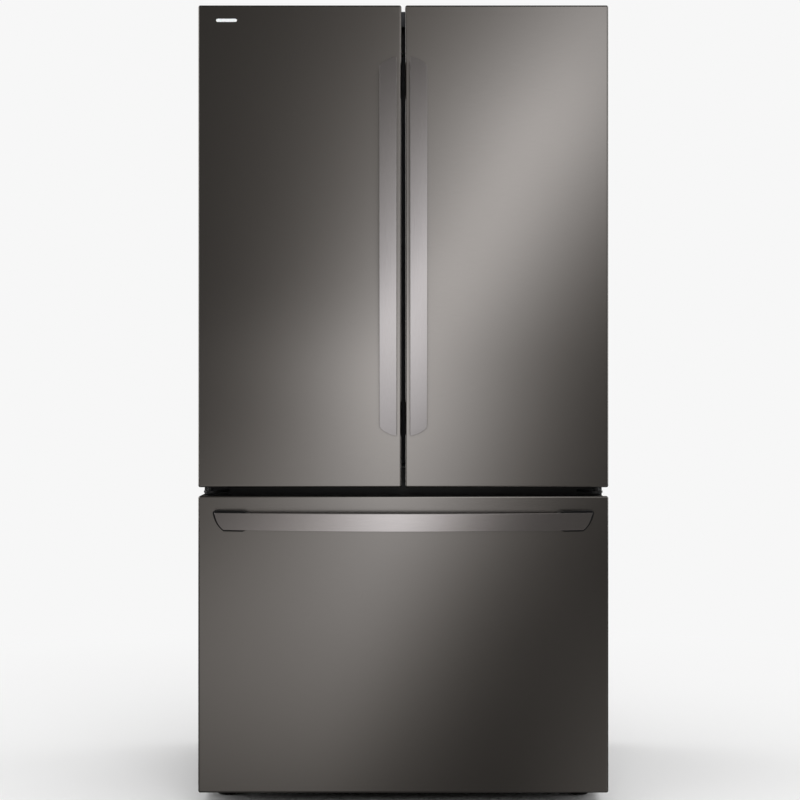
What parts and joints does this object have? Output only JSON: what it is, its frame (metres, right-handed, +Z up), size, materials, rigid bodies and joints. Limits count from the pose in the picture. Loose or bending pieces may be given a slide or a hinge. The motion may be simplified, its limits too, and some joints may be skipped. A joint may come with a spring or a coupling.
{
  "type": "french door refrigerator",
  "caption": "Upright refrigerator with paired doors above a pull-out freezer drawer, bowed bar handles, glass shelves, bins and a folding mullion.",
  "frame": {"origin": "on the floor, below the middle of the whole, handles included", "axes": "+X right as seen from in front, -Y towards the user in front of the doors, +Z up"},
  "size_m": [0.908, 0.797, 1.784],
  "materials": {
    "black_steel": "satin",
    "handle_steel": "satin",
    "case_paint": "satin",
    "galvanised": "satin",
    "black_plastic": "matte",
    "grey_plastic": "satin",
    "white_plastic": "satin",
    "foam": "matte",
    "foamed_panel": "satin",
    "gasket": "matte",
    "clear_plastic": "gloss",
    "shelf_glass": "gloss",
    "lens": "satin",
    "fins": "satin",
    "compressor_black": "satin"
  },
  "bodies": {
    "cabinet": {"cabinet_shell": "case_paint", "centre_hinge_left": "case_paint", "centre_hinge_right": "case_paint", "rear_panel": "galvanised", "machine_cover": "galvanised", "top_hinge_left": "galvanised", "top_hinge_right": "galvanised", "slide_rail_left": "galvanised", "slide_rail_right": "galvanised", "base_pan": "black_plastic", "top_cover": "grey_plastic", "water_dispenser": "grey_plastic", "cabinet_foam": "foam", "fresh_food_liner": "white_plastic", "freezer_liner": "white_plastic", "freezer_duct_cover": "white_plastic", "fresh_air_duct": "white_plastic", "shelf_left_upper": "shelf_glass", "shelf_right_upper": "shelf_glass", "shelf_left_lower": "shelf_glass", "shelf_right_lower": "shelf_glass", "crisper_cover": "shelf_glass", "ceiling_light": "lens", "condenser": "fins", "evaporator": "fins", "compressor": "compressor_black"},
    "left_door": {"left_door_skin": "black_steel", "left_door_inner": "foamed_panel", "left_door_gasket": "gasket", "left_door_handle": "handle_steel", "left_handle_carrier": "black_plastic", "left_bin_upper": "clear_plastic", "left_bin_middle": "clear_plastic", "left_bin_lower": "clear_plastic"},
    "right_door": {"right_door_skin": "black_steel", "right_door_inner": "foamed_panel", "right_door_gasket": "gasket", "right_door_handle": "handle_steel", "right_handle_carrier": "black_plastic", "right_bin_upper": "clear_plastic", "right_bin_middle": "clear_plastic", "right_bin_lower": "clear_plastic"},
    "mullion": {"flip_mullion": "grey_plastic"},
    "freezer_drawer": {"drawer_skin": "black_steel", "drawer_inner": "foamed_panel", "drawer_gasket": "gasket", "drawer_handle": "handle_steel", "drawer_handle_carrier": "black_plastic", "drawer_frame": "galvanised", "freezer_basket": "white_plastic"},
    "upper_tray": {"freezer_tray": "clear_plastic"},
    "left_crisper": {"crisper_left": "clear_plastic"},
    "right_crisper": {"crisper_right": "clear_plastic"},
    "pantry": {"pantry_drawer": "clear_plastic"},
    "lever": {"dispenser_lever": "grey_plastic"},
    "condenser_fan": {"condenser_fan": "black_plastic"},
    "evaporator_fan": {"evaporator_fan": "black_plastic"},
    "left_leg": {"levelling_leg_left": "black_plastic"},
    "right_leg": {"levelling_leg_right": "black_plastic"},
    "rear_rollers": {"rear_rollers": "grey_plastic"}
  },
  "joints": [
    {"name": "left_door_hinge", "type": "hinge", "parent": "cabinet", "child": "left_door", "pos_m": [-0.434, -0.2745, 1.2], "axis": [0, 0, -1], "range_deg": [0, 115]},
    {"name": "right_door_hinge", "type": "hinge", "parent": "cabinet", "child": "right_door", "pos_m": [0.434, -0.2745, 1.2], "axis": [0, 0, 1], "range_deg": [0, 115]},
    {"name": "mullion_flip", "type": "hinge", "parent": "left_door", "child": "mullion", "pos_m": [-0.046, -0.2115, 1.2], "axis": [0, 0, 1], "range_deg": [0, 80]},
    {"name": "freezer_drawer_slide", "type": "slide", "parent": "cabinet", "child": "freezer_drawer", "axis": [0, -1, 0], "range_m": [0, 0.38]},
    {"name": "upper_tray_slide", "type": "slide", "parent": "freezer_drawer", "child": "upper_tray", "axis": [0, 1, 0], "range_m": [0, 0.12]},
    {"name": "left_crisper_slide", "type": "slide", "parent": "cabinet", "child": "left_crisper", "axis": [0, -1, 0], "range_m": [0, 0.05]},
    {"name": "right_crisper_slide", "type": "slide", "parent": "cabinet", "child": "right_crisper", "axis": [0, -1, 0], "range_m": [0, 0.05]},
    {"name": "pantry_slide", "type": "slide", "parent": "cabinet", "child": "pantry", "axis": [0, -1, 0], "range_m": [0, 0.05]},
    {"name": "dispenser_lever_press", "type": "hinge", "parent": "cabinet", "child": "lever", "pos_m": [-0.37485, -0.084, 1.372], "axis": [1, 0, 0], "range_deg": [0, 12], "stiffness_Nm_per_rad": 0.05, "springref_deg": -2.86},
    {"name": "condenser_fan_spin", "type": "hinge", "parent": "cabinet", "child": "condenser_fan", "pos_m": [-0.06, 0.262, 0.152], "axis": [1, 0, 0], "continuous": true},
    {"name": "evaporator_fan_spin", "type": "hinge", "parent": "cabinet", "child": "evaporator_fan", "pos_m": [0, 0.278, 0.6], "axis": [0, 1, 0], "continuous": true},
    {"name": "left_leg_turn", "type": "hinge", "parent": "cabinet", "child": "left_leg", "pos_m": [-0.405, -0.18, 0.02], "axis": [0, 0, 1], "continuous": true},
    {"name": "right_leg_turn", "type": "hinge", "parent": "cabinet", "child": "right_leg", "pos_m": [0.405, -0.18, 0.02], "axis": [0, 0, 1], "continuous": true},
    {"name": "rear_roller_spin", "type": "hinge", "parent": "cabinet", "child": "rear_rollers", "pos_m": [0, 0.335, 0.022], "axis": [1, 0, 0], "continuous": true}
  ]
}
